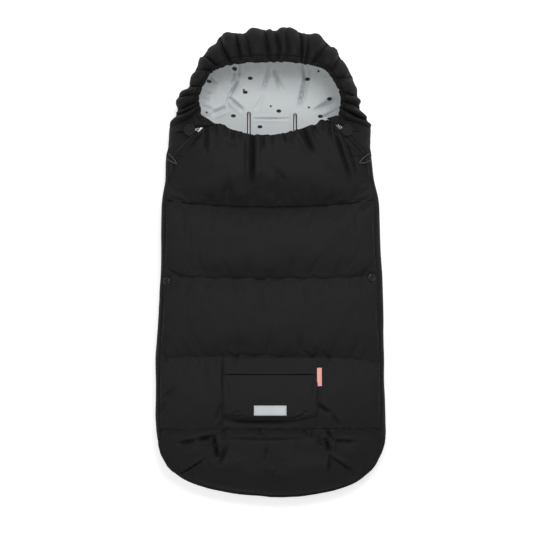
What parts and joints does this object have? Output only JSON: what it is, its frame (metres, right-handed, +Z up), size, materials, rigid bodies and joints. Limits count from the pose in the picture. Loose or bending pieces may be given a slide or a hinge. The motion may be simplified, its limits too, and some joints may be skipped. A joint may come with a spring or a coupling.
{
  "type": "stroller footmuff",
  "caption": "Hooded, quilted stroller footmuff with a fold-down chest flap, a zip-open cover, harness slots and a front pocket.",
  "frame": {"origin": "middle of the length and width, on the surface that the back lies on", "axes": "+X to the right across the width, +Y towards the hood, +Z up out of the face opening"},
  "size_m": [0.46, 0.94, 0.1094],
  "materials": {
    "shell_fabric": "matte woven shell",
    "hood_fabric": "soft woven shell",
    "lining_fabric": "brushed jersey",
    "wadding": "polyester wadding",
    "elastic": "braided elastic",
    "trim": "woven binding",
    "patch": "plain woven patch",
    "coral_tab": "woven ribbon",
    "zip_tape": "woven tape with coil",
    "metal": "satin nickel",
    "dark_metal": "black lacquer",
    "rubber": "soft matte"
  },
  "bodies": {
    "back": {"back_outer": "shell_fabric", "back_wadding": "wadding", "back_lining": "lining_fabric", "side_panel_outer_left": "shell_fabric", "side_panel_outer_right": "shell_fabric", "side_panel_wadding_left": "wadding", "side_panel_wadding_right": "wadding", "side_panel_lining_left": "lining_fabric", "side_panel_lining_right": "lining_fabric", "hood_outer": "hood_fabric", "hood_wadding": "wadding", "hood_lining": "lining_fabric", "hood_elastic": "elastic", "foot_outer": "shell_fabric", "foot_wadding": "wadding", "foot_lining": "lining_fabric", "harness_slot_binding_left": "trim", "harness_slot_binding_right": "trim", "crotch_slot_binding": "trim", "zip_back_left": "zip_tape", "zip_back_right": "zip_tape", "zip_bottom_stop_left": "metal", "zip_bottom_stop_right": "metal", "cord_loop_left": "elastic", "cord_loop_right": "elastic"},
    "cover": {"cover_outer": "shell_fabric", "cover_filling_shin": "wadding", "cover_filling_thigh": "wadding", "cover_filling_lap": "wadding", "cover_lining": "lining_fabric", "pocket_panel": "shell_fabric", "pocket_welt": "trim", "pocket_patch": "patch", "side_tab": "coral_tab", "snap_cap_left": "metal", "snap_socket_right": "dark_metal", "zip_cover_left": "zip_tape", "zip_cover_right": "zip_tape"},
    "flap": {"flap_outer": "shell_fabric", "flap_filling": "wadding", "flap_lining": "lining_fabric", "neck_elastic": "elastic", "zip_flap_left": "zip_tape", "zip_flap_right": "zip_tape"},
    "slider_left": {"zip_slider_left": "metal"},
    "slider_right": {"zip_slider_right": "metal"},
    "pull_left": {"zip_pull_left": "rubber"},
    "pull_right": {"zip_pull_right": "rubber"}
  },
  "joints": [
    {"name": "cover_fold", "type": "hinge", "parent": "back", "child": "cover", "pos_m": [0, -0.331, 0.104], "axis": [1, 0, 0], "range_deg": [0, 150]},
    {"name": "flap_fold", "type": "hinge", "parent": "cover", "child": "flap", "pos_m": [0, 0.115, 0.104], "axis": [1, 0, 0], "range_deg": [0, 175]},
    {"name": "zip_left_slide", "type": "slide", "parent": "back", "child": "slider_left", "axis": [-0.6572, -0.661, -0.3623], "range_m": [0, 0.036]},
    {"name": "zip_right_slide", "type": "slide", "parent": "back", "child": "slider_right", "axis": [0.6572, -0.661, -0.3623], "range_m": [0, 0.036]},
    {"name": "pull_left_swing", "type": "hinge", "parent": "slider_left", "child": "pull_left", "pos_m": [-0.14128, 0.26411, 0.09881], "axis": [-0.1208, 0.965, 0.2329], "range_deg": [0, 150]},
    {"name": "pull_right_swing", "type": "hinge", "parent": "slider_right", "child": "pull_right", "pos_m": [0.14128, 0.26411, 0.09881], "axis": [-0.1208, -0.965, -0.2329], "range_deg": [0, 150]}
  ]
}
